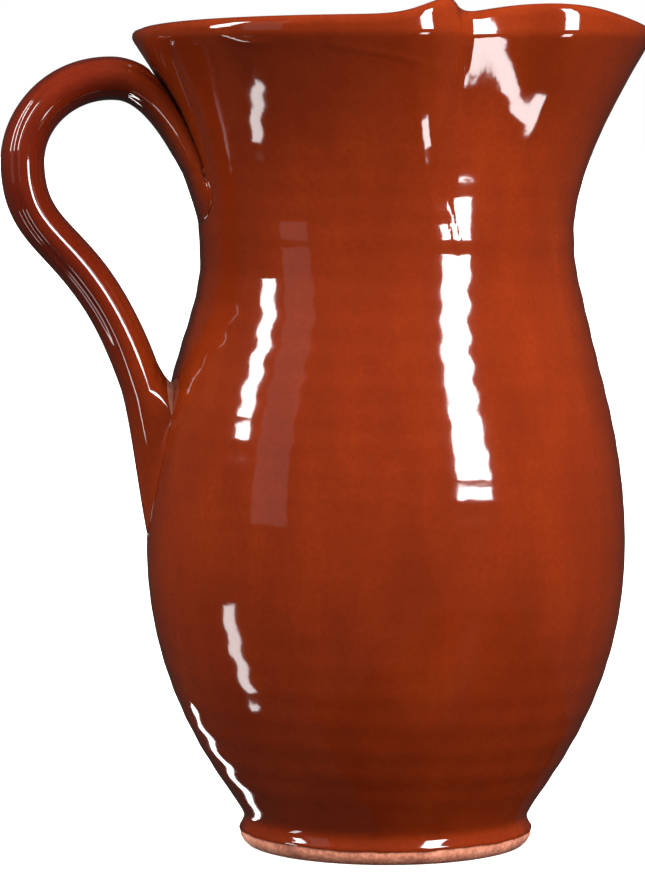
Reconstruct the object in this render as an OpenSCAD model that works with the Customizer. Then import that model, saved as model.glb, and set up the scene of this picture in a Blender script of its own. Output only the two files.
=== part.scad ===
// Glazed earthenware pitcher.
// A thrown body of red clay carries a pinched spout. A pulled strap handle is pressed on at the
// neck and the belly, and its ends are smeared down with soft clay. Coats of glaze cover the clay.
// Origin: centre of the base. +Z is up, the spout points along +X and the handle along -X.

/* [Body] */
// Height of the rim above the base, at the sides of the mouth
rim_z = 250; // [244:1:256]
// Radius of the foot where it stands
foot_r = 44.5; // [43:0.5:46]
// Radius of the waist just above the foot
waist_r = 43; // [41:0.5:44]
// Height of the waist
waist_z = 8; // [7:0.5:10]
// Radius of the belly at its widest
belly_r = 72.5; // [70:0.5:74]
// Height of the widest point
belly_z = 93; // [88:1:98]
// Radius of the neck
neck_r = 56.5; // [55:0.5:58]
// Height where the shoulder runs out into the neck
neck_z = 180; // [178:1:182]
// Thickness of the thrown wall
wall = 5; // [4.5:0.25:6]
// Height of the inside floor
floor_z = 8; // [7:0.5:10]

/* [Mouth] */
// Radius of the rolled rim on the handle side
rim_r = 76.5; // [75:0.5:78]
// Distance from the axis to the tip of the spout
spout_r = 80; // [78:0.5:82]
// Plan angle of each pinch, measured from the spout
pinch_angle = 75; // [70:1:80]
// How far the pinches push the rim in
pinch_depth = 17; // [12:1:19]
// Height the folded rim rises at the pinch on the -Y side
near_fold = 4.5; // [3:0.5:5]
// Height the folded rim rises at the pinch on the +Y side
far_fold = 0.7; // [0:0.1:5]
// Height of the rounded crest of the rim
crest = 2.2; // [1.5:0.1:3]

/* [Handle] */
// Width of the strap at the neck
strap_top_w = 28; // [24:1:30]
// Width of the strap at the belly
strap_low_w = 24; // [21:1:26]
// Thickness of the strap at the top of its arch
strap_t = 13; // [12:0.5:14]
// Thickness of the strap where it leaves the neck
strap_root_t = 8; // [7.5:0.5:9.5]

/* [Glaze] */
// Thickness of the glaze
glaze_t = 0.4; // [0.35:0.05:0.5]
// Height of the bare clay below the glaze line
bare_z = 3; // [2:0.5:6]

/* [Hidden] */

clay = "#a4583c";
slip_clay = "#9a4f35";
glaze = "#8e3216";

// The turned part ends at turned_z. The flared mouth above it is a ring of columns, rooted
// lap_z either way of that height so that the two grow together.
turned_z = neck_z + 6;
lap_z = 2;
lap_inset = 0.3;
columns = 72;
flare_rows = 12;
turned_rows = 40;
// The foot is widest at foot_z and rounds in by foot_under below that
foot_z = 3;
foot_under = 2;
// Air left between a faceted piece and the turned clay that it is pressed on
seat = 0.06;

// Curve handles of the two long curves of the turned wall, as heights
low_curve = [waist_z, waist_z + 6, 40, belly_z];
shoulder_curve = [belly_z, 133, 163, neck_z];

// Centre line of the strap in the plane y = 0: three cubic curves, as [x, z]
neck_root = [-55, 200.5];
arch_top = [-83.3, rim_z - 17.4];
grip_out = [-109.9, rim_z - 42.2];
belly_root = [-71.1, 129.6];
strap_curves = [
    [neck_root, [-61, 211], [-67.9, rim_z - 17.4], arch_top],
    [arch_top, [-99.7, rim_z - 17.4], [-109.9, rim_z - 30.5], grip_out],
    [grip_out, [-109.9, rim_z - 71.4], [-86.8, 188.6], belly_root]
];
curve_steps = [9, 7, 12];
strap_sides = 20;
pad_steps = 8;

// ---- Curves -------------------------------------------------------------------------------

function cubic(p, t) =
    p[0] * pow(1 - t, 3) + 3 * p[1] * t * pow(1 - t, 2) + 3 * p[2] * t * t * (1 - t) + p[3] * pow(t, 3);

// Curve parameter at which a rising cubic reaches the value v
function cubic_at(p, v, low = 0, high = 1, left = 24) =
    let (mid = (low + high) / 2)
    left == 0 ? mid :
    cubic(p, mid) < v ? cubic_at(p, v, mid, high, left - 1) : cubic_at(p, v, low, mid, left - 1);

// Outside radius of the turned part at height z
function turned_r(z) =
    z < foot_z ? foot_r - foot_under * pow(1 - z / foot_z, 2) :
    z < waist_z ? waist_r + (foot_r - waist_r) * (1 + cos(180 * (z - foot_z) / (waist_z - foot_z))) / 2 :
    z < belly_z ? cubic([waist_r, waist_r, belly_r, belly_r], cubic_at(low_curve, z)) :
    z < neck_z ? cubic([belly_r, belly_r, neck_r, neck_r], cubic_at(shoulder_curve, z)) :
    neck_r;

// 1 at the spout, falling to 0 at the handle side
function spout_share(angle) = pow(cos(angle / 2), 2);

// How strongly the pinch acts at a plan angle and a share of the mouth's height. Towards the
// handle it ends in a sharp fold. Towards the spout it keeps its depth up to a soft flank.
function pinch(angle, rise) =
    let (off = abs(angle) - pinch_angle, flank = (abs(angle) - 50 - 8 * rise) / (2 + 3 * rise))
    (off > 0 ? 0.7 * exp(-pow(off / 7, 2)) + 0.3 * exp(-pow(off / 18, 2)) : 1) / (1 + exp(-flank));

// Height of the rim: low at the handle and at the spout's tip, raised where the clay is folded
function crown_z(angle) =
    let (
        a = abs(angle),
        fold = a - pinch_angle - 8,
        fold_z = angle < 0 ? near_fold : far_fold
    )
    rim_z - 2.7 * pow(max(a - 90, 0) / 90, 2.2) + fold_z * exp(-pow(fold / (fold > 0 ? 9 : 5), 2))
    + 3.7 * exp(-pow((a - 55) / 18, 2)) - 3 * exp(-pow(a / 26, 2));

// Outside radius of the flared mouth
function flare_r(z, angle) =
    let (
        share = spout_share(angle),
        rise = max(z - turned_z, 0) / (rim_z - turned_z),
        reach = (24.8 + 2.5 * share) * pow(rise, 2.17 - 0.47 * share),
        edge = rim_r + (spout_r - rim_r) * share
    )
    min(neck_r + reach, edge) - pinch_depth * pinch(angle, rise) * pow(rise, 1.4);

function outer_r(z, angle) = z < turned_z ? turned_r(z) : flare_r(z, angle);

// A profile moved sideways by d: outwards from a path that climbs the outside of the wall
function shifted(path, d) =
    [for (i = [0:len(path) - 1])
        let (
            run = path[min(i + 1, len(path) - 1)] - path[max(i - 1, 0)],
            way = run / norm(run)
        )
        path[i] + d * [way[1], -way[0]]];

function reversed(list) = [for (i = [len(list) - 1:-1:0]) list[i]];
function part_of(list, first, last) = [for (i = [first:last]) list[i]];

// ---- Profiles, as [radius, height] ----------------------------------------------------------

turned_outside = [for (i = [0:turned_rows])
    let (z = turned_z * pow(i / turned_rows, 1.3))
    [turned_r(z), z]];
turned_wall = shifted(turned_outside, -wall);
first_inside = [for (i = [0:len(turned_wall) - 1]) if (turned_wall[i][1] > floor_z + 5) i][0];
corner = turned_wall[first_inside];
floor_edge = [corner[0] - 9, floor_z];
floor_bend = [corner[0] - 4, floor_z];
turned_inside = concat(
    reversed(part_of(turned_wall, first_inside, len(turned_wall) - 1)),
    [for (t = [0.25, 0.5, 0.75, 1])
        corner * pow(1 - t, 2) + 2 * floor_bend * t * (1 - t) + floor_edge * t * t],
    [[0, floor_z]]
);

// The whole skin of the flared mouth at one plan angle: up the outside, over the crest, down
// the inside
function flare_skin(angle) =
    let (
        start = turned_z + lap_z,
        top = crown_z(angle) - crest,
        outside = [for (i = [0:flare_rows])
            let (z = start + (top - start) * (1 - pow(1 - i / flare_rows, 1.4)))
            [flare_r(z, angle), z]],
        inside = shifted(outside, -wall),
        middle = (outside[flare_rows] + inside[flare_rows]) / 2,
        over = [for (a = [45, 90, 135]) middle + [wall / 2 * cos(a), crest * sin(a)]]
    )
    concat(outside, over, reversed(inside));

crest_index = flare_rows + 2;
skin_last = 2 * flare_rows + 4;

function clay_loop(angle) =
    let (skin = flare_skin(angle), root = turned_z - lap_z)
    concat([[neck_r - lap_inset, root]], skin, [[neck_r - wall + lap_inset, root]]);

function outside_glaze_loop(angle) =
    let (skin = flare_skin(angle), coat = shifted(skin, glaze_t), root = turned_z - lap_z)
    concat(
        [[neck_r + 0.75 * glaze_t, root]],
        part_of(coat, 0, crest_index),
        reversed(part_of(skin, 0, crest_index)),
        [[neck_r + 0.5 * glaze_t, root]]
    );

function inside_glaze_loop(angle) =
    let (skin = flare_skin(angle), coat = shifted(skin, glaze_t), root = turned_z - lap_z)
    concat(
        [[neck_r - wall - 0.5 * glaze_t, root]],
        reversed(part_of(skin, crest_index, skin_last)),
        part_of(coat, crest_index, skin_last),
        [[neck_r - wall - 0.75 * glaze_t, root]]
    );

// ---- Solids ---------------------------------------------------------------------------------

function around(angle, p) = [p[0] * cos(angle), p[0] * sin(angle), p[1]];
function column_angle(j) = -180 + 360 * j / columns;

// A ring whose profile changes with the plan angle. Segments for which turn_from <= i < turn_to
// run down a skin that a neighbour runs up, so they are split along the other diagonal.
module ring_solid(loops, turn_from, turn_to) {
    n = len(loops);
    m = len(loops[0]);
    points = [for (j = [0:n - 1], i = [0:m - 1]) around(column_angle(j), loops[j][i])];
    faces = [for (j = [0:n - 1], i = [0:m - 1], half = [0, 1])
        let (
            j2 = (j + 1) % n,
            i2 = (i + 1) % m,
            a = j * m + i,
            b = j * m + i2,
            c = j2 * m + i2,
            d = j2 * m + i,
            turned = i >= turn_from && i < turn_to
        )
        turned ? (half == 0 ? [a, b, d] : [b, c, d]) : (half == 0 ? [a, b, c] : [a, c, d])];
    polyhedron(points, faces);
}

// The pitcher's outer shape without any hollow, grown by d: what the handle is pressed against
module body_envelope(d) {
    grown = shifted(turned_outside, d);
    rotate_extrude($fn = 2 * columns)
        polygon(concat([[0, 0]], grown, [[0, turned_z]]));
    loops = [for (j = [0:columns - 1])
        let (path = part_of(flare_skin(column_angle(j)), 0, flare_rows))
        concat([[30, turned_z - lap_z], [neck_r + d, turned_z - lap_z]], shifted(path, d),
               [[30, path[flare_rows][1]]])];
    ring_solid(loops, 0, 0);
}

// Places on the strap: step k of curve c
function strap_point(c, k) = cubic(strap_curves[c], k / curve_steps[c]);
strap_path = concat(
    [for (k = [0:curve_steps[0] - 1]) strap_point(0, k)],
    [for (k = [0:curve_steps[1] - 1]) strap_point(1, k)],
    [for (k = [0:curve_steps[2]]) strap_point(2, k)]
);
strap_last = len(strap_path) - 1;

// Direction of the strap at place i
function strap_way(i) =
    let (run = strap_path[min(i + 1, strap_last)] - strap_path[max(i - 1, 0)])
    run / norm(run);

// Cross-section of the strap at place i: an oval, thinner near the neck
function strap_ring(i, grow) =
    let (
        way = strap_way(i),
        share = i / strap_last,
        half_w = (strap_top_w + (strap_low_w - strap_top_w) * share) / 2 + grow,
        half_t = (strap_root_t + (strap_t - strap_root_t) * min(4 * share, 1)) / 2 + grow
    )
    [for (j = [0:strap_sides - 1])
        let (a = 360 * j / strap_sides, out = half_t * cos(a))
        [strap_path[i][0] - out * way[1], half_w * sin(a), strap_path[i][1] + out * way[0]]];

// A point moved straight out from the axis until it lies on the outside of the body
function pressed_on(p) =
    let (
        r = norm([p[0], p[1]]),
        least = outer_r(p[2], atan2(p[1], p[0])) + seat,
        push = max(1, least / r)
    )
    [p[0] * push, p[1] * push, p[2]];

// The strap as one skin of rings. A pressed strap lies against the body, and any other runs
// on into it.
module strap_shape(grow, pressed = false) {
    rings = [for (i = [0:strap_last])
        [for (p = strap_ring(i, grow)) pressed ? pressed_on(p) : p]];
    n = strap_sides;
    faces = [for (i = [0:strap_last - 1], j = [0:n - 1], half = [0, 1])
        let (a = i * n + j, b = i * n + (j + 1) % n)
        half == 0 ? [a, b, b + n] : [a, b + n, a + n]];
    ends = [[for (j = [n - 1:-1:0]) j], [for (j = [0:n - 1]) strap_last * n + j]];
    polyhedron([for (ring = rings, p = ring) p], concat(faces, ends));
}

// A pad of soft clay: a chain of balls along a curve. Its four guides are
// [distance from the axis, half spread, height, radius].
module pad(guides, grow) {
    for (i = [0:pad_steps - 1]) {
        hull() {
            for (t = [i, i + 1] / pad_steps, side = [-1, 1]) {
                ball = cubic(guides, t);
                rotate([0, 0, asin(side * ball[1] / ball[0])])
                    translate([-ball[0], 0, ball[2]])
                        sphere(r = ball[3] + grow, $fn = 20);
            }
        }
    }
}

upper_guides = [[57.5, 11, 205, 5.4], [57.2, 11, 200.5, 5.4], [55.5, 7, 195.5, 4.4], [54.7, 3, 192, 2.6]];
lower_guides = [[69.5, 5, 134, 6.5], [70, 8, 122, 6.8], [70, 5, 111, 6.5], [70.6, 1, 99, 2.4]];

module slip_shapes(grow) {
    pad(upper_guides, grow);
    pad(lower_guides, grow);
}

// Upright oval column through the wall behind a handle root: the field where the handle's clay
// and its own coat of glaze meet the body
module root_field(z, half_w, half_h) {
    translate([-40, 0, z])
        rotate([0, -90, 0])
            linear_extrude(60)
                polygon([for (a = [0:15:345]) [half_h * cos(a), half_w * sin(a)]]);
}

module upper_field() {
    root_field(turned_z + lap_z + 25.5, 21, 25);
}

module lower_field() {
    root_field(120, 19, 27);
}

module root_fields() {
    upper_field();
    lower_field();
}

// One closed shell of whatever it holds, at its own size
module one_shell() {
    resize([0, 0, 0])
        children();
}

module thrown_body() {
    color(clay) {
        rotate_extrude($fn = 2 * columns)
            polygon(concat([[0, 0]], turned_outside, turned_inside));
        ring_solid([for (j = [0:columns - 1]) clay_loop(column_angle(j))], 0, 0);
    }
}

module strap_handle() {
    color(clay) {
        strap_shape(0, pressed = true);
    }
}

module slip_joint(guides) {
    color(slip_clay) {
        difference() {
            pad(guides, 0);
            strap_shape(0, pressed = true);
            body_envelope(seat);
        }
    }
}

module upper_slip_joint() {
    slip_joint(upper_guides);
}

module lower_slip_joint() {
    slip_joint(lower_guides);
}

module outside_glaze() {
    first = [for (i = [0:len(turned_outside) - 1]) if (turned_outside[i][1] > bare_z) i][0];
    path = part_of(turned_outside, first, len(turned_outside) - 1);
    color(glaze) {
        difference() {
            rotate_extrude($fn = 2 * columns)
                polygon(concat(path, reversed(shifted(path, glaze_t))));
            lower_field();
        }
        one_shell() {
            difference() {
                ring_solid([for (j = [0:columns - 1]) outside_glaze_loop(column_angle(j))],
                           crest_index + 2, 2 * crest_index + 3);
                upper_field();
            }
        }
    }
}

module inside_glaze() {
    color(glaze) {
        rotate_extrude($fn = 2 * columns)
            polygon(concat(turned_inside, reversed(shifted(turned_inside, glaze_t))));
        ring_solid([for (j = [0:columns - 1]) inside_glaze_loop(column_angle(j))],
                   1, skin_last - crest_index + 2);
    }
}

module handle_glaze() {
    color(glaze) {
        difference() {
            union() {
                strap_shape(glaze_t);
                slip_shapes(glaze_t);
                intersection() {
                    body_envelope(glaze_t);
                    root_fields();
                }
            }
            strap_shape(0);
            slip_shapes(0);
            body_envelope(seat);
            difference() {
                body_envelope(glaze_t + seat);
                root_fields();
            }
        }
    }
}

thrown_body();
strap_handle();
upper_slip_joint();
lower_slip_joint();
outside_glaze();
inside_glaze();
handle_glaze();
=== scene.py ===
# %% [markdown]
# # A glazed earthenware pitcher
# The real pot is thrown on a wheel from red clay, its mouth is pinched into a spout while soft,
# a pulled strap handle is pressed on, and the whole is dipped in a clear honey-brown glaze.
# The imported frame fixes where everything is. This script follows the potter: it turns a profile,
# pinches the mouth, lays on the handle, smears its ends, and coats the clay with glaze.

# %% Load the frame
import math

import bmesh
import bpy
import numpy as np
from mathutils import Matrix, Vector


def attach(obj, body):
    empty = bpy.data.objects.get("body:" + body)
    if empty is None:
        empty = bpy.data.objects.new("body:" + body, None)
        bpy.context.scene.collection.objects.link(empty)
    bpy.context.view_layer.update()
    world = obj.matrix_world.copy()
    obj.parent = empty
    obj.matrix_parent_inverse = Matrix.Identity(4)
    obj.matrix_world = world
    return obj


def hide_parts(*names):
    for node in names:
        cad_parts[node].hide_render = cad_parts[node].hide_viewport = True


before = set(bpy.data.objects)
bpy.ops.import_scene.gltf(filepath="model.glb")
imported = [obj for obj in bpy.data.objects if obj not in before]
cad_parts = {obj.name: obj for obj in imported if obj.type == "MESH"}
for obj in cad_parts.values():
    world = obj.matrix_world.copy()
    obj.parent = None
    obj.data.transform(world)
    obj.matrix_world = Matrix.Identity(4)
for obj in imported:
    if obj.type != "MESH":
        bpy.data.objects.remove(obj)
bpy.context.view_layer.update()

# %% [markdown]
# ## Sizes
# All lengths below are millimetres, as a potter's notebook would have them, and they become
# metres only when a mesh is written.

# %% Sizes of the thrown form
MM = 0.001
RIM_Z = 250.0
FOOT_R, FOOT_Z, FOOT_UNDER = 44.5, 3.0, 2.0
WAIST_R, WAIST_Z = 43.0, 8.0
BELLY_R, BELLY_Z = 72.5, 93.0
NECK_R, NECK_Z = 56.5, 180.0
FLARE_Z = NECK_Z + 6
WALL, FLOOR_Z, CREST = 5.0, 8.0, 2.2
NEAR_FOLD, FAR_FOLD, TRIM = 4.5, 0.7, 0.6
RIM_R, SPOUT_R = 76.5, 80.0
PINCH_ANGLE, PINCH_DEPTH = 75.0, 17.0
GLAZE = 0.35

# %% [markdown]
# ## The turned wall
# A thrown pot is a solid of revolution, so one curve tells its shape: two cubic curves, like a
# draughtsman's French curve, run from the waist to the belly and from the belly to the neck. A
# formula is used rather than a list of points because every later step (pinching, glazing,
# seating the handle) needs to ask how wide the wall is at any height.

# %% Curves of the wall
def cubic(p, t):
    return p[0] * (1 - t) ** 3 + 3 * p[1] * t * (1 - t) ** 2 + 3 * p[2] * t * t * (1 - t) + p[3] * t ** 3


STEPS = np.linspace(0, 1, 400)


def along_cubic(radii, heights, z):
    """Radius at height z on a rising cubic curve."""
    return np.interp(z, cubic(heights, STEPS), cubic(radii, STEPS))


def turned_r(z):
    """Outside radius of the wall below the flare."""
    z = np.asarray(z, float)
    under = FOOT_R - FOOT_UNDER * (1 - z / FOOT_Z) ** 2
    swing = (z - FOOT_Z) / (WAIST_Z - FOOT_Z) * math.pi
    foot = WAIST_R + (FOOT_R - WAIST_R) * (1 + np.cos(swing)) / 2
    low = along_cubic([WAIST_R, WAIST_R, BELLY_R, BELLY_R], [WAIST_Z, WAIST_Z + 6, 40, BELLY_Z], z)
    high = along_cubic([BELLY_R, BELLY_R, NECK_R, NECK_R], [BELLY_Z, 133, 163, NECK_Z], z)
    return np.select([z < FOOT_Z, z < WAIST_Z, z < BELLY_Z, z < NECK_Z], [under, foot, low, high], NECK_R)


def soft_least(a, b, blend):
    """The smaller of two values, with the corner between them rounded."""
    return (a + b - np.sqrt((a - b) ** 2 + blend ** 2)) / 2


print("radius in mm at foot, belly and neck:", [round(float(turned_r(z)), 1) for z in (3, 93, 184)])

# %% [markdown]
# ## The mouth
# The rim is thrown round and then pinched: two fingers push the clay in on either side while a
# third draws the spout out. The plan angle is measured from the spout. Each pinch ends in a
# sharp fold towards the handle, and keeps its depth towards the spout up to a soft flank.

# %% Curves of the mouth
def bell(x, width):
    return np.exp(-(x / width) ** 2)


def two_sided(x, before, after):
    """A bell with its own width on each side of its peak."""
    return bell(x, np.where(x > 0, after, before))


def pinch(angle, rise):
    """How strongly the pinch acts at a plan angle and a share of the mouth's height."""
    off = np.abs(angle) - PINCH_ANGLE
    flank = (np.abs(angle) - 50 - 8 * rise) / (2 + 3 * rise)
    fold = np.where(off > 0, 0.7 * bell(off, 7) + 0.3 * bell(off, 18), 1)
    return fold / (1 + np.exp(-np.clip(flank, -40, 40)))


def crown_z(angle):
    """Height of the rim's crest at a plan angle in degrees."""
    a = np.abs(angle)
    drop = 2.7 * (np.maximum(a - 90, 0) / 90) ** 2.2
    fold = np.where(np.asarray(angle) < 0, NEAR_FOLD, FAR_FOLD) * two_sided(a - PINCH_ANGLE - 8, 5, 9)
    return RIM_Z - drop + fold + 3.7 * bell(a - 55, 18) - 3 * bell(a, 26) - TRIM


def flare_r(z, angle, pinched=True):
    """Outside radius of the flared mouth."""
    share = np.cos(np.radians(angle) / 2) ** 2 if pinched else 0
    rise = np.clip((z - FLARE_Z) / (RIM_Z - FLARE_Z), 0, 1.2)
    reach = (24.8 + 2.5 * share) * rise ** (2.17 - 0.47 * share)
    edge = RIM_R + (SPOUT_R - RIM_R) * share
    r = soft_least(NECK_R + reach, edge + 0.15, 0.8)
    if pinched:
        r = r - PINCH_DEPTH * pinch(angle, rise) * rise ** 1.4
    return r


def outer_r(z, angle):
    return np.where(z < FLARE_Z, turned_r(z), flare_r(z, angle))


print("rim in mm from spout to handle:",
      [(a, round(float(flare_r(247, a)), 1), round(float(crown_z(a)), 1))
       for a in (0, 40, 75, 83, 120, 180)])

# %% [markdown]
# ## Marks of the hand
# A thrown wall is never a perfect curve. Shallow throwing rings climb it in a helix, it wanders
# by a few tenths of a millimetre, and a finger leaves a faint ridge here and there where the
# handle was pressed on. They are real shape, not only shading, because a glossy
# glaze shows each of them in its reflections.

# %% Hand marks
def drift(angle, z):
    """Slow wandering of the wall, in mm. The neck leans a little towards the spout."""
    a = np.radians(angle)
    return (0.30 * np.sin(2 * a + z / 31 + 0.6) + 0.16 * np.sin(3 * a - z / 19 + 2.0)
            + 0.10 * np.sin(5 * a + z / 13 + 4.1) + 1.0 * np.cos(a) * bell(z - 168, 16))


def throwing_rings(angle, z):
    """Fine helical rings about 8 mm apart, stronger on some parts of the wall than on others."""
    turn = z / 8.2 + np.asarray(angle) / 360
    strength = 0.055 + 0.035 * np.sin(z / 23 + 1.0)
    return strength * np.sin(2 * math.pi * turn + 0.8 * np.sin(z / 17))


RIDGES = [
    # places as (plan angle, height), then height and width of the ridge in mm
    ([(-154, 243), (-153, 226), (-155, 205), (-156, 194)], 0.30, 1.3),
    ([(155, 243), (154, 226), (156, 203)], 0.25, 1.3),
    ([(-142, 250), (-140, 247), (-136, 244), (-131, 242), (-124, 241.5)], 0.40, 0.8),
    ([(-112, 241.5), (-96, 238), (-82, 233)], 0.18, 1.0),
    ([(-83, 208), (-80, 197), (-77, 186), (-75.5, 178)], 0.20, 0.9),
    ([(128, 249), (120, 246), (110, 243.5)], 0.30, 0.9),
    ([(-79, 256), (-78.5, 249), (-77.5, 237), (-76.5, 222)], -0.9, 0.9),
    ([(-81.5, 254), (-80.7, 247), (-79.7, 236), (-79, 228)], 0.45, 1.0),
]


def ridge(angle, z, places, height, width):
    """A raised line through the places given, faded at both ends."""
    r = NECK_R + 12
    x, y = np.radians(angle) * r, z
    best = np.full(np.shape(x), 1e9)
    fade = np.zeros(np.shape(x))
    pts = [(math.radians(a) * r, h) for a, h in places]
    total = len(pts) - 1
    for i in range(total):
        (x0, y0), (x1, y1) = pts[i], pts[i + 1]
        dx, dy = x1 - x0, y1 - y0
        t = np.clip(((x - x0) * dx + (y - y0) * dy) / (dx * dx + dy * dy), 0, 1)
        d = np.hypot(x - x0 - t * dx, y - y0 - t * dy)
        nearer = d < best
        best = np.where(nearer, d, best)
        fade = np.where(nearer, (i + t) / total, fade)
    return height * bell(best, width) * np.sin(np.pi * np.clip(fade, 0.02, 0.98)) ** 0.5


def hand_marks(angle, z):
    """All marks on the outside wall, quiet at the foot and the rim so that those stay true."""
    quiet = np.clip((z - 6) / 20, 0, 1) * np.clip((244 - z) / 16, 0, 1)
    marks = (drift(angle, z) + throwing_rings(angle, z)) * quiet
    for places, height, width in RIDGES:
        marks = marks + ridge(angle, z, places, height, width)
    return marks


# %% [markdown]
# ## From profile to pot
# A profile is a short chain of edges, and bmesh's spin turns it once round the axis, which is
# what the wheel does. The round mouth is then pinched by moving every vertex with the same rule,
# so the wall keeps its thickness. A lathe modifier would do the same, but spin leaves a plain
# mesh that can be pinched at once.

# %% Spin and pinch
COLUMNS = 256
GATHER = 14


def finished(bm, name):
    """Write a bmesh to a mesh with its faces turned outwards."""
    bmesh.ops.recalc_face_normals(bm, faces=bm.faces[:])
    mesh = bpy.data.meshes.new(name)
    bm.to_mesh(mesh)
    bm.free()
    return mesh


def spun(name, path):
    """A mesh turned from a path of (radius, height) points."""
    bm = bmesh.new()
    verts = [bm.verts.new((r * MM, 0, z * MM)) for r, z in path]
    edges = [bm.edges.new(pair) for pair in zip(verts, verts[1:])]
    bmesh.ops.spin(bm, geom=verts + edges, cent=(0, 0, 0), axis=(0, 0, 1), angle=2 * math.pi,
                   steps=COLUMNS, use_merge=True)
    bmesh.ops.remove_doubles(bm, verts=bm.verts[:], dist=1e-6)
    return finished(bm, name)


def points_of(mesh):
    flat = np.empty(len(mesh.vertices) * 3)
    mesh.vertices.foreach_get("co", flat)
    return flat.reshape(-1, 3) / MM


def set_points(mesh, points):
    mesh.vertices.foreach_set("co", (points * MM).ravel())
    mesh.update()


def pinch_mouth(points, marked):
    """The round mouth pushed into its pinched shape, with the hand marks where marked is true.
    The columns are drawn together towards the pinches, where the shape turns sharply."""
    x, y, z = points.T
    r, angle = np.hypot(x, y), np.degrees(np.arctan2(y, x))
    angle = angle + GATHER * np.sin(np.radians(2 * angle))
    climb = (crown_z(angle) - FLARE_Z) / (RIM_Z - FLARE_Z)
    new_z = np.where(z > FLARE_Z, FLARE_Z + (z - FLARE_Z) * climb, z)
    push = np.where(z > FLARE_Z, flare_r(new_z, angle) - flare_r(z, angle, pinched=False), 0)
    depth = np.clip((outer_r(new_z, angle) - r - push) / WALL, 0, 1)
    marks = hand_marks(angle, new_z) * (1 - depth) * marked
    new_r = np.where(r > 1, r + push + marks, r)
    a = np.radians(angle)
    return np.column_stack([new_r * np.cos(a), new_r * np.sin(a), new_z])


def offset_path(path, d):
    """A path of (radius, height) points moved sideways by d."""
    p = np.array(path, float)
    run = np.gradient(p, axis=0)
    run /= np.linalg.norm(run, axis=1)[:, None]
    return p + d * np.column_stack([run[:, 1], -run[:, 0]])


def add_piece(mesh, *nodes, slot):
    """A shaded object on the root body that stands for the CAD nodes named."""
    for face in mesh.polygons:
        face.use_smooth = True
    piece = bpy.data.objects.new(mesh.name, mesh)
    bpy.context.scene.collection.objects.link(piece)
    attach(piece, "root")
    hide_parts(*nodes)
    print(mesh.name, "has", len(mesh.polygons), "faces")
    return piece


# %% [markdown]
# ## The thrown body
# One closed skin: the flat base, the foot, the outside wall, over the crest of the rim and down
# the inside to the floor. The foot's lowest band stays bare, so the clay shows there.

# %% Body of red clay
def outside_heights(rows):
    """Heights up the wall, closer together at the foot and at the rim."""
    t = np.linspace(0, 1, rows)
    return (RIM_Z - CREST) * (t - 0.13 * np.sin(2 * np.pi * t) * 0.8 * t)


def wall_path(rows):
    """The outside of the wall from the base to the start of the crest."""
    z = outside_heights(rows)
    r = np.where(z < FLARE_Z, turned_r(z), flare_r(z, 180, pinched=False))
    return [(float(a), float(b)) for a, b in zip(r, z)]


def crest_path(out_point, in_point, steps=7):
    """The rounded crest between the outside and the inside of the wall."""
    (r0, z0), (r1, z1) = out_point, in_point
    for k in range(1, steps):
        a = math.pi * k / steps
        yield ((r0 + r1) / 2 + (r0 - r1) / 2 * math.cos(a), (z0 + z1) / 2 + CREST * math.sin(a))


def inside_path(outside):
    """The inside of the wall from the crest down to the middle of the floor."""
    inner = [tuple(p) for p in offset_path(outside, -WALL)[::-1]]
    upper = [(r, z) for r, z in inner if z > FLOOR_Z + 5]
    corner = np.array(upper[-1])
    bend = corner * [1, 0] + [-4, FLOOR_Z]
    edge = corner * [1, 0] + [-9, FLOOR_Z]
    turn = [tuple(corner * (1 - t) ** 2 + 2 * bend * t * (1 - t) + edge * t * t)
            for t in (0.2, 0.4, 0.6, 0.8, 1)]
    floor = [(r, FLOOR_Z) for r in np.linspace(edge[0], 0, 9)[1:]]
    return upper + turn + floor


outside = wall_path(230)
inside = inside_path(outside)
crest = list(crest_path(outside[-1], inside[0]))
base = [(r, 0) for r in np.linspace(0, outside[0][0], 7)[:-1]]
clay_mesh = spun("thrown_clay", base + outside + crest + inside)
set_points(clay_mesh, pinch_mouth(points_of(clay_mesh), marked=1))
thrown_clay = add_piece(clay_mesh, "thrown_body", slot="clay")

# %% [markdown]
# ## Coats of glaze on the body
# The pot is dipped, so the glaze is one thin skin of even thickness that stops in a slightly
# ragged, rounded edge just above the wiped foot. It is turned like the clay, moved out by its
# own thickness, and thickened inwards afterwards with a Solidify modifier. The outside coat
# runs over the crest, and the inside coat starts beneath its edge.

# %% Outside and inside glaze
BARE_Z = 3.3
LAP_ROWS, INSIDE_FIRST_ROW = 9, 6


def glaze_edge(points):
    """The lower edge of the coat: ragged by a few tenths, with a rounded bead."""
    x, y, z = points.T
    r, a = np.hypot(x, y), np.arctan2(y, x)
    near = np.exp(-np.maximum(z - BARE_Z, 0) / 1.6)
    ragged = (0.35 * np.sin(5 * a + 1) + 0.22 * np.sin(11 * a + 2) + 0.15 * np.sin(23 * a)
              + 0.1 * np.sin(41 * a))
    bead = 0.22 * bell(z - BARE_Z - 0.9, 0.9) - 0.20 * bell(z - BARE_Z, 0.45)
    new_r = r + bead
    return np.column_stack([new_r * np.cos(a), new_r * np.sin(a), z + ragged * near])


def thicken(piece, thickness):
    """Give a skin its thickness on its inner side."""
    shell = piece.modifiers.new("glaze thickness", "SOLIDIFY")
    shell.thickness = thickness * MM
    shell.offset = -1
    shell.use_quality_normals = True
    shell.use_rim = True


skin = offset_path(outside + crest + inside[:LAP_ROWS], GLAZE)
skin = [(r, z) for r, z in skin if z >= BARE_Z]
outside_mesh = spun("outside_glaze_coat", skin)
set_points(outside_mesh, glaze_edge(pinch_mouth(points_of(outside_mesh), marked=1)))
outside_coat = add_piece(outside_mesh, "outside_glaze", slot="glaze")

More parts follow.
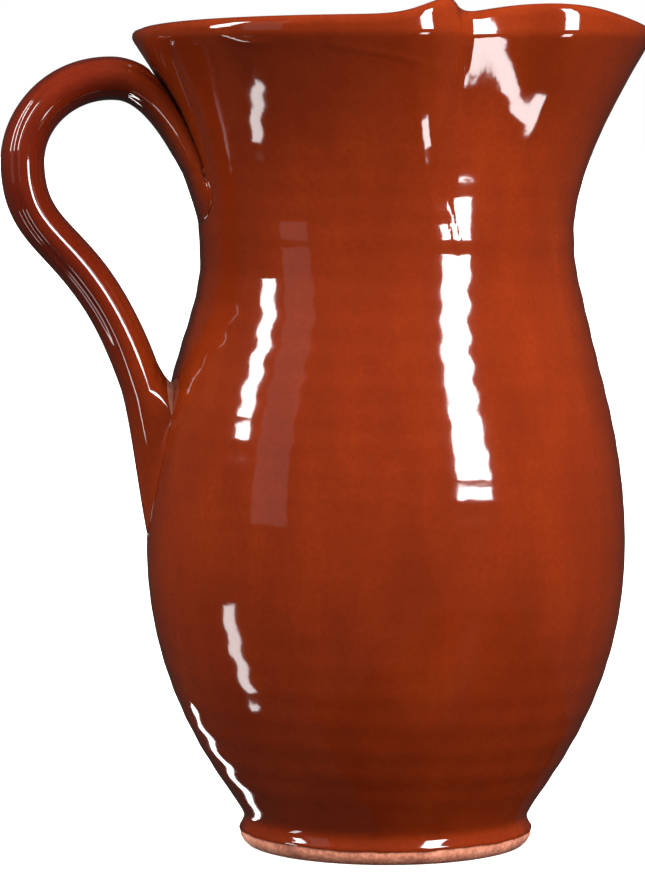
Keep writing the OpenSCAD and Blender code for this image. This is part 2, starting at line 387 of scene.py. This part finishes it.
skin = offset_path(inside[INSIDE_FIRST_ROW:], 0.8 * GLAZE)
inside_mesh = spun("inside_glaze_coat", [(max(r, 0), z) for r, z in skin])
set_points(inside_mesh, pinch_mouth(points_of(inside_mesh), marked=0))
inside_coat = add_piece(inside_mesh, "inside_glaze", slot="glaze")

# %% [markdown]
# ## The strap handle
# The handle is pulled: a wet hand draws a lump of clay into a long strap, which leaves an oval
# section with fine ridges along it. Its centre line is three cubic curves. The section is
# defined as a function of the distance along the strap, so the coat of glaze, the clay beneath
# it and the slip around its roots can all be laid on the very same shape.

# %% Centre line and section of the strap
STRAP = [
    [(-55, 200.5), (-61, 211), (-67.9, 232.6), (-83.3, 232.6)],
    [(-83.3, 232.6), (-99.7, 232.6), (-109.9, 219.5), (-109.9, 207.8)],
    [(-109.9, 207.8), (-109.9, 178.6), (-86.8, 188.6), (-71.1, 129.6)],
]
TOP_W, LOW_W, FULL_T, ROOT_T = 28, 24, 13.1, 8
t = np.linspace(0, 1, 300)
strap_x = np.concatenate([cubic([p[0] for p in curve], t)[:-1] for curve in STRAP])
strap_z = np.concatenate([cubic([p[1] for p in curve], t)[:-1] for curve in STRAP])
strap_s = np.concatenate([[0], np.cumsum(np.hypot(np.diff(strap_x), np.diff(strap_z)))])
STRAP_LONG = strap_s[-1]
print("length of the strap in mm:", round(STRAP_LONG, 1))


def strap_point(s, angle, inset=0):
    """A point on the strap at distance s from its upper end. Angle 0 faces the grip's opening."""
    s, angle = np.broadcast_arrays(np.asarray(s, float), np.asarray(angle, float))
    x, z = np.interp(s, strap_s, strap_x), np.interp(s, strap_s, strap_z)
    dx = np.interp(s + 1.5, strap_s, strap_x) - np.interp(s - 1.5, strap_s, strap_x)
    dz = np.interp(s + 1.5, strap_s, strap_z) - np.interp(s - 1.5, strap_s, strap_z)
    long = np.hypot(dx, dz)
    share = s / STRAP_LONG
    half_w = (TOP_W + (LOW_W - TOP_W) * share) / 2 + 2.6 * bell(s, 16) - inset
    half_t = (ROOT_T + (FULL_T - ROOT_T) * np.clip(4 * share, 0, 1)) / 2 - inset
    a = np.radians(angle)
    groove = 1 - pulled_marks(s, angle)
    out, side = half_t * np.cos(a) * groove, half_w * np.sin(a) * groove
    return np.stack([x - out * dz / long, side, z + out * dx / long], axis=-1)


def pulled_marks(s, angle):
    """Depth of the grooves that the pulling hand leaves along the strap, as a share of its size."""
    off = np.abs((angle + 180) % 360 - 180)
    wander = 4 * np.sin(s / 21) + 2 * np.sin(s / 9 + 1)
    body = np.clip(np.minimum(s - 8, STRAP_LONG - 14 - s) / 20, 0, 1)
    grooves = 0.040 * bell(off - 124 - wander, 7) + 0.022 * bell(off - 47 + wander / 2, 6)
    grooves = grooves - 0.018 * bell(off - 138 - wander, 6)
    wobble = 0.010 * np.sin(s / 12 + 1) * np.cos(np.radians(angle)) + 0.006 * np.sin(s / 5.3)
    return body * (grooves + wobble)


# %% [markdown]
# ## Roots of the handle
# The ends of the strap are pressed against the wall and smeared: a thumb drags soft clay down
# below the neck and into a tail on the belly, while the other side of each root stays a sharp
# crease. Each root is described by the oval on the wall where its clay runs out. Every line
# along the strap bends from the strap to its own point of that oval in one cubic curve, which
# gives a tight crease or a broad smear depending only on how far the two ends of it stand.

# %% Laying the strap's skin onto the wall
class Root:
    """Where and how one end of the strap runs out on the wall. Triples are for the side that
    faces the grip's opening, for the edges and for the back of the strap."""

    def __init__(self, s0, way, centre, half_w, reach_z, leave, bend, land, swell):
        self.s0, self.way, self.centre, self.half_w = s0, way, centre, half_w
        self.reach_z, self.leave, self.bend, self.land = reach_z, leave, bend, land
        self.swell = swell


def by_side(angle, triple):
    """A value that runs smoothly round the section through three given ones."""
    c = np.cos(np.radians(angle))
    front, edge, back = triple
    return edge + (front - back) / 2 * c + ((front + back) / 2 - edge) * c * c


def wall_x(y, z, lift=0):
    """Where the glazed wall stands on the handle side."""
    r = outer_r(z, 180) + np.zeros(np.shape(y))
    for _ in range(3):
        angle = np.degrees(np.arctan2(y, -np.sqrt(r * r - y * y)))
        r = outer_r(z, angle) + hand_marks(angle, z) + GLAZE + lift
    return -np.sqrt(r * r - y * y)


def on_wall(y, z, lift=0):
    return np.stack([wall_x(y, z, lift), y, z], axis=-1)


UPPER = Root(s0=0, way=1, centre=198.5, half_w=19.0, reach_z=(-9.5, 0, 8.0),
             leave=(6.5, 7, 14), bend=(0.8, 2, 2), land=(4.5, 3.5, 2), swell=(0.6, 1.2, 0))
LOWER = Root(s0=STRAP_LONG, way=-1, centre=127.5, half_w=13.5, reach_z=(13.5, 0, -33.0),
             leave=(16, 9, 12), bend=(2, 3, 9), land=(1, 1.5, 14), swell=(0, 0.3, 3.0))


def root_rows(root, angle, rows, lift, inset=0):
    """Rows of points from the wall up to the strap, one column per section angle."""
    c, sn = np.cos(np.radians(angle)), np.sin(np.radians(angle))
    front, _, back = root.reach_z
    y3 = root.half_w * sn * (1 - 0.18 * np.clip(-c, 0, 1) ** 2 * (abs(back) > 20))
    z3 = root.centre + np.where(c > 0, front, -back) * c
    p3 = on_wall(y3, z3, lift)
    start = root.s0 + root.way * by_side(angle, root.leave)
    p0 = strap_point(start, angle, inset)
    ahead = strap_point(start - root.way * 0.5, angle, inset)
    tangent = (ahead - p0) / np.linalg.norm(ahead - p0, axis=-1)[:, None]
    inward_y, inward_z = -y3, root.centre - z3
    long = np.hypot(inward_y, inward_z)
    step = 0.5
    p_in = on_wall(y3 + inward_y / long * step, z3 + inward_z / long * step, lift)
    slope = (p_in - p3) / np.linalg.norm(p_in - p3, axis=-1)[:, None]
    p1 = p0 + tangent * by_side(angle, root.bend)[:, None]
    p2 = p3 + slope * by_side(angle, root.land)[:, None]
    p2[:, 0] -= by_side(angle, root.swell)
    t = np.linspace(0, 1, rows)[:, None, None]
    return cubic((p3, p2, p1, p0), t)


GAP_FROM, GAP_SLOPE = 208, 0.05


def clear_of_wall(points, lift):
    """Push points out until they clear the wall, leaving a gap that opens with height."""
    x, y, z = points[..., 0], points[..., 1], points[..., 2]
    gap = lift + np.clip(z - GAP_FROM, 0, 60) * GAP_SLOPE
    result = points.copy()
    result[..., 0] = np.minimum(x, wall_x(y, z) - gap)
    return result


AROUND = 112
SECTION = np.linspace(0, 360, AROUND + 1)
LIFT = 0.07


def handle_skin(rows_on_strap):
    """The whole skin of the handle as rows of points from the neck to the belly."""
    upper = root_rows(UPPER, SECTION, 22, LIFT)
    lower = root_rows(LOWER, SECTION, 30, LIFT)[::-1]
    first = UPPER.s0 + by_side(SECTION, UPPER.leave)
    last = LOWER.s0 - by_side(SECTION, LOWER.leave)
    t = np.linspace(0, 1, rows_on_strap)[1:-1, None]
    middle = strap_point(first + (last - first) * t, SECTION)
    return clear_of_wall(np.concatenate([upper, middle, lower]), LIFT)


skin = handle_skin(130)
print("rows of the handle's skin:", skin.shape)

# %% [markdown]
# ## The coat on the handle
# The skin starts as a flat grid, as if cut from a sheet of glaze, and every vertex is moved to
# its place in the rows worked out above. The long seam is then merged. This keeps all lines of
# the mesh along and across the strap, so reflections run cleanly along it.

# %% Glaze on the handle
def rolled(skin):
    """A grid wrapped onto rows of points and merged along its seam."""
    rows, cols = skin.shape[:2]
    bm = bmesh.new()
    bmesh.ops.create_grid(bm, x_segments=cols - 1, y_segments=rows - 1, size=0.5)
    for v in bm.verts:
        col, row = round((v.co.x + 0.5) * (cols - 1)), round((v.co.y + 0.5) * (rows - 1))
        v.co = Vector(skin[row, col] * MM)
    bmesh.ops.remove_doubles(bm, verts=bm.verts[:], dist=2e-6)
    return bm


bm = rolled(skin)
handle_coat = add_piece(finished(bm, "handle_glaze_coat"), "handle_glaze", slot="glaze")

# %% [markdown]
# ## Clay under the handle's coat
# The strap itself and the two slip joints are wholly covered by glaze, but they are separate
# lumps of clay and stay separate pieces. The strap is the same tube, thinner by the glaze and
# closed at both ends. Each joint is a collar of soft clay round a root: its outer face follows
# the coat and its inner face follows the strap and the wall.

# %% Strap of red clay
UNDER = GLAZE + 0.12
UPPER_END, LOWER_END = 4.0, 7.0


def end_capped(skin, name):
    """A tube of rows with both ends closed."""
    bm = rolled(skin)
    open_edges = [e for e in bm.edges if e.is_boundary]
    bmesh.ops.holes_fill(bm, edges=open_edges, sides=0)
    return finished(bm, name)


along = np.linspace(UPPER_END, STRAP_LONG - LOWER_END, 120)[:, None]
strap = clear_of_wall(strap_point(along, SECTION, inset=UNDER), lift=-GLAZE + 0.05)
strap_clay = add_piece(end_capped(strap, "strap_clay"), "strap_handle", slot="clay")

# %% [markdown]
# The collars are closed rings: the rows run from the strap out to the wall under the coat, and
# back along the wall and the strap. A grid can be wrapped both ways, so the same rolling step
# makes them, with its last row merged onto its first.

# %% Slip joints
def collar(root):
    """Rows of a closed ring of slip round one root."""
    outer = root_rows(root, SECTION, 16, lift=-UNDER + 0.06, inset=UNDER)[::-1]
    foot, top = outer[-1], outer[0]
    centre = on_wall(np.zeros(1), np.full(1, float(root.centre)), -UNDER)
    inner = []
    for t in np.linspace(0, 1, 9)[1:-1]:
        p = foot * (1 - t) + top * t
        inner.append(p * 0.8 + centre * 0.2 + (outer[8] - p) * -0.15)
    return np.concatenate([outer, np.array(inner), outer[:1]])


upper_slip = add_piece(finished(rolled(collar(UPPER)), "upper_slip"),
                       "upper_slip_joint", slot="slip")
lower_slip = add_piece(finished(rolled(collar(LOWER)), "lower_slip"),
                       "lower_slip_joint", slot="slip")

for coat in (outside_coat, inside_coat, handle_coat):
    thicken(coat, 0.75 * GLAZE)

# %% [markdown]
# ## Materials
# All finishes are procedural and read Object coordinates, so a pattern has the same size in
# millimetres everywhere on the pot. One function turns a written colour into linear light, and
# one adds a node with its settings and links.

# %% Helpers for materials
def linear(text):
    """An sRGB hex colour as linear RGBA."""
    parts = [int(text[i:i + 2], 16) / 255 for i in (1, 3, 5)]
    return [*(c / 12.92 if c <= 0.04045 else ((c + 0.055) / 1.055) ** 2.4 for c in parts), 1]


def node(tree, kind, links=None, **settings):
    """Add a node. Settings name attributes or, as in_<socket>, input values; links feed inputs."""
    made = tree.nodes.new(kind)
    for name, value in settings.items():
        if name.startswith("in_"):
            made.inputs[name[3:].replace("_", " ")].default_value = value
        else:
            setattr(made, name, value)
    for socket, source in (links or {}).items():
        tree.links.new(source, made.inputs[socket])
    return made


def ramp(tree, fac, stops):
    """A colour ramp through (position, hex colour) stops."""
    made = node(tree, "ShaderNodeValToRGB", {"Fac": fac})
    elements = made.color_ramp.elements
    while len(elements) < len(stops):
        elements.new(0.5)
    for element, (position, colour) in zip(elements, stops):
        element.position, element.color = position, linear(colour)
    return made.outputs["Color"]


def new_material(name):
    material = bpy.data.materials.new(name)
    material.use_nodes = True
    tree = material.node_tree
    tree.nodes.clear()
    place = node(tree, "ShaderNodeTexCoord").outputs["Object"]
    shader = node(tree, "ShaderNodeBsdfPrincipled")
    out = node(tree, "ShaderNodeOutputMaterial", {"Surface": shader.outputs["BSDF"]})
    return material, tree, place, shader


PER_MM = 1000

# %% [markdown]
# ### Honey-brown glaze on red earthenware
# A thin transparent glaze, stained by iron, lies over the red clay. The eye sees a warm
# brown-orange that varies slowly where the glaze is thicker or thinner, faint vertical runs,
# fine dark specks, and on top of that the hard, nearly mirror-like gloss of glass. The colour is
# given to the base of one shader, because a coat as thin as this shows no parallax, and its
# slight orange-peel surface is a bump small enough to leave the reflections' outlines wavy.
# Traditional glazes of this kind hold lead, and a typical index for those, higher than that of
# window glass, is used. On the strap the coat is given a darker tone, which is painted shade, and
# it takes on the wall's tone again at the two roots.

# %% Glaze material
NEAR_X, FAR_X = -72, -90


def honey_glaze(name, stops, painted_shade_stops=None):
    """A clear brown glaze over red clay, in the tones of the given colour stops. The second tones,
    darker ones that paint shade onto the handle, take over from NEAR_X to FAR_X, away from the wall."""
    glaze, tree, place, shader = new_material(name)
    stretched = node(tree, "ShaderNodeMapping", {"Vector": place}, in_Scale=(1, 1, 0.22))
    runs = node(tree, "ShaderNodeTexNoise", {"Vector": stretched.outputs["Vector"]},
                in_Scale=PER_MM / 14, in_Detail=4, in_Roughness=0.55)
    clouds = node(tree, "ShaderNodeTexNoise", {"Vector": place}, in_Scale=PER_MM / 38, in_Detail=3)
    grain = node(tree, "ShaderNodeTexNoise", {"Vector": place}, in_Scale=PER_MM / 1.4, in_Detail=3)
    broad = node(tree, "ShaderNodeMath", {0: runs.outputs["Fac"], 1: clouds.outputs["Fac"]},
                 operation="ADD")
    mixed = node(tree, "ShaderNodeMath", {0: grain.outputs["Fac"], 2: broad.outputs[0]},
                 operation="MULTIPLY_ADD")
    mixed.inputs[1].default_value = 0.7
    scaled = node(tree, "ShaderNodeMapRange", {"Value": mixed.outputs[0]})
    scaled.inputs["From Min"].default_value = 0.85
    scaled.inputs["From Max"].default_value = 1.85
    colour = ramp(tree, scaled.outputs[0], stops)
    # Away from the wall, darker tones take over: painted shade on the handle.
    if painted_shade_stops:
        apart = node(tree, "ShaderNodeSeparateXYZ", {"Vector": place})
        away = node(tree, "ShaderNodeMapRange", {"Value": apart.outputs["X"]})
        away.inputs["From Min"].default_value = NEAR_X * MM
        away.inputs["From Max"].default_value = FAR_X * MM
        far = ramp(tree, scaled.outputs[0], painted_shade_stops)
        both = node(tree, "ShaderNodeMix", {"Factor": away.outputs[0], "A": colour, "B": far},
                    data_type="RGBA")
        colour = both.outputs["Result"]
    tree.links.new(colour, shader.inputs["Base Color"])
    shader.inputs["Roughness"].default_value = 0.07
    shader.inputs["IOR"].default_value = 1.68
    peel = node(tree, "ShaderNodeTexNoise", {"Vector": place}, in_Scale=PER_MM / 5.5, in_Detail=2)
    bump = node(tree, "ShaderNodeBump", {"Height": peel.outputs["Fac"]}, in_Strength=0.10,
                in_Distance=0.0004)
    tree.links.new(bump.outputs["Normal"], shader.inputs["Normal"])
    return glaze


WALL_TONES = [(0.0, "#601d07"), (0.45, "#6b2108"), (0.75, "#732509"), (1.0, "#7a2a0b")]
# The strap's tones are darker than the wall's, as painted shade on the handle.
SHADED_STRAP_TONES = [(0.0, "#521508"), (0.45, "#5a1808"), (0.75, "#611b09"), (1.0, "#681f0b")]
glaze = honey_glaze("honey_glaze_over_red_earthenware", WALL_TONES)
strap_glaze_with_painted_shade = honey_glaze("honey_glaze_with_painted_shade_on_strap", WALL_TONES, SHADED_STRAP_TONES)

# %% [markdown]
# ### Bare red earthenware
# The foot is wiped clean before firing. Fired red clay is a dull pinkish orange, fully matt,
# with fine grit in it and a few darker stains next to the glaze.

# %% Clay material
clay, tree, place, shader = new_material("fired_red_earthenware")
grit = node(tree, "ShaderNodeTexNoise", {"Vector": place}, in_Scale=PER_MM / 1.1, in_Detail=4)
stain = node(tree, "ShaderNodeTexNoise", {"Vector": place}, in_Scale=PER_MM / 9, in_Detail=3)
both = node(tree, "ShaderNodeMath", {0: grit.outputs["Fac"], 1: stain.outputs["Fac"]},
            operation="MULTIPLY")
colour = ramp(tree, both.outputs[0], [(0.1, "#7e4434"), (0.25, "#b06a50"), (0.45, "#c98a70")])
tree.links.new(colour, shader.inputs["Base Color"])
shader.inputs["Roughness"].default_value = 0.85
bump = node(tree, "ShaderNodeBump", {"Height": grit.outputs["Fac"]}, in_Strength=0.35, in_Distance=0.0003)
tree.links.new(bump.outputs["Normal"], shader.inputs["Normal"])

# %% [markdown]
# ### Slip at the joints
# Slip is the same clay let down with water, so it fires a little finer and darker.

# %% Slip material
slip, tree, place, shader = new_material("fired_slip_of_red_clay")
smear = node(tree, "ShaderNodeTexNoise", {"Vector": place}, in_Scale=PER_MM / 3, in_Detail=3)
colour = ramp(tree, smear.outputs["Fac"], [(0.3, "#8a4a36"), (0.7, "#a8644c")])
tree.links.new(colour, shader.inputs["Base Color"])
shader.inputs["Roughness"].default_value = 0.8

for piece, material in ((thrown_clay, clay), (strap_clay, clay), (upper_slip, slip),
                        (lower_slip, slip), (outside_coat, glaze), (inside_coat, glaze),
                        (handle_coat, strap_glaze_with_painted_shade)):
    piece.data.materials.append(material)

# %% [markdown]
# ## Floor, light and camera
# A glossy pot shows its surroundings, so the lamps are placed for their reflections: a tall soft
# box on the spout's side of the camera, a narrow strip far round on the handle's side, and a dim
# broad panel beside it. The floor is plain white paper. It glows a little, so that it stays white
# all the way back, and it neither shows in the gloss nor lights the clay.

# %% Studio floor
def stage_sheet(bm, name, material):
    """Put a flat sheet on the stage. It doesn't light the clay."""
    mesh = bpy.data.meshes.new(name)
    bm.to_mesh(mesh)
    bm.free()
    mesh.materials.append(material)
    sheet = bpy.data.objects.new(name, mesh)
    sheet.visible_diffuse = False
    bpy.context.scene.collection.objects.link(sheet)
    return sheet


paper, tree, place, shader = new_material("matt_white_paper")
shader.inputs["Base Color"].default_value = linear("#e8e7e4")
shader.inputs["Emission Color"].default_value = linear("#f4f3f1")
shader.inputs["Emission Strength"].default_value = 0.35
shader.inputs["Roughness"].default_value = 0.9
bm = bmesh.new()
bmesh.ops.create_grid(bm, x_segments=1, y_segments=1, size=40)
floor = stage_sheet(bm, "studio_floor", paper)
floor.visible_glossy = False

# %% Lamps
AHEAD = Vector((0.139, 0.990, 0))
RIGHT = Vector((0.990, -0.139, 0))


def lamp(name, bearing, distance, low, high, width, power):
    """An upright soft box that faces the pot. Bearing is in degrees right of the camera's side."""
    a = math.radians(bearing)
    way = RIGHT * math.sin(a) - AHEAD * math.cos(a)
    light = bpy.data.lights.new(name, "AREA")
    light.shape, light.size, light.size_y = "RECTANGLE", width, high - low
    light.energy = power
    holder = bpy.data.objects.new(name, light)
    holder.location = way * distance + Vector((0, 0, (low + high) / 2))
    aim = Vector((0, 0, (low + high) / 2)) - holder.location
    holder.rotation_euler = aim.to_track_quat("-Z", "Y").to_euler()
    bpy.context.scene.collection.objects.link(holder)
    return holder


lamp("right_soft_box", 41, 0.75, 0.20, 0.95, 0.22, 11)
lamp("left_strip", -76, 0.75, 0.30, 0.80, 0.12, 3.2)
lamp("dim_panel", -56, 0.9, 0.08, 0.9, 0.30, 0.22)

# %% [markdown]
# A polished table would show every lamp once more, upside down, and such images give the long
# highlights low on the belly and the white V on the spout. Each image is a lamp of its own below
# the floor's level. The floor shades the clay from it, apart from a trace: diffuse rays don't see
# the floor, so a few of them reach these lamps and leave a faint grain low on the left.

# %% Images of the lamps in a polished table
lamp("right_soft_box_in_table", 41, 0.75, -0.95, -0.15, 0.15, 4.4)
lamp("left_strip_in_table", -79, 0.75, -0.46, -0.13, 0.09, 0.7)
lamp("left_back_strip_in_table", -141, 0.75, -0.75, -0.25, 0.08, 1.0)
lamp("right_back_strip_in_table", 140, 0.75, -0.52, -0.36, 0.05, 0.3)

# %% [markdown]
# The right soft box's image belongs on the spout but not on the belly. A matt black card hides it
# there, as a flag does in a studio. It lies just under the paper, so it is never seen itself.

# %% Matt black card
black_card, tree, place, shader = new_material("matt_black_card")
shader.inputs["Base Color"].default_value = linear("#0c0c0c")
shader.inputs["Roughness"].default_value = 0.9
shader.inputs["Specular IOR Level"].default_value = 0.1
CARD_LONG, CARD_WIDE, CARD_OUT, CARD_Z = 0.30, 0.22, 0.185, -0.002
CARD_BEARING = 41 - 90 - 8
bm = bmesh.new()
bmesh.ops.create_grid(bm, x_segments=1, y_segments=1, size=0.5)
bmesh.ops.scale(bm, verts=bm.verts[:], vec=(CARD_LONG, CARD_WIDE, 1))
bmesh.ops.translate(bm, verts=bm.verts[:], vec=(CARD_OUT, 0, CARD_Z))
bmesh.ops.rotate(bm, verts=bm.verts[:], matrix=Matrix.Rotation(math.radians(CARD_BEARING), 3, "Z"))
stage_sheet(bm, "matt_card", black_card)

# %% [markdown]
# The room is white to the eye. To the clay it is a soft dome that is dark below, bright overhead
# and a little brighter behind the pot than in front. What the gloss reflects beside the lamps is
# the dark studio around the table. A Light Path node tells the three apart, so the pot keeps the
# deep colour that a flagged studio gives it while it still stands on pale paper.

# %% Room light
world = bpy.data.worlds.new("pale_studio")
bpy.context.scene.world = world
world.use_nodes = True
tree = world.node_tree
rays = node(tree, "ShaderNodeLightPath")
background = tree.nodes["Background"]
room = node(tree, "ShaderNodeMix", {"Factor": rays.outputs["Is Glossy Ray"]}, data_type="RGBA")
room.inputs["A"].default_value = (1, 1, 1, 1)
room.inputs["B"].default_value = (0.03, 0.03, 0.03, 1)
toward = node(tree, "ShaderNodeTexCoord").outputs["Generated"]
way = node(tree, "ShaderNodeSeparateXYZ", {"Vector": toward})
tilt = node(tree, "ShaderNodeMath", {0: way.outputs["Y"], 2: way.outputs["Z"]},
            operation="MULTIPLY_ADD")
tilt.inputs[1].default_value = 0.25
sky = node(tree, "ShaderNodeMapRange", {"Value": tilt.outputs[0]}, interpolation_type="SMOOTHSTEP")
for socket, value in (("From Min", -0.6), ("From Max", 0.9), ("To Min", 0.16), ("To Max", 3.25)):
    sky.inputs[socket].default_value = value
fill = node(tree, "ShaderNodeMix", {"Factor": rays.outputs["Is Diffuse Ray"], "A": room.outputs["Result"],
                                    "B": sky.outputs["Result"]}, data_type="RGBA")
tree.links.new(fill.outputs["Result"], background.inputs["Color"])
background.inputs["Strength"].default_value = 1.0
bpy.context.scene.view_settings.view_transform = "Standard"

# %% Camera
camera_data = bpy.data.cameras.new("camera")
camera_data.lens = 160.2
camera_data.sensor_width = 36
camera_data.sensor_fit = "AUTO"
camera = bpy.data.objects.new("camera", camera_data)
camera.location = -AHEAD * 1.18 + Vector((0, 0, 0.215))
target = -RIGHT * 0.0193 + Vector((0, 0, 0.1240))
camera.rotation_euler = (target - camera.location).to_track_quat("-Z", "Y").to_euler()
bpy.context.scene.collection.objects.link(camera)
bpy.context.scene.camera = camera
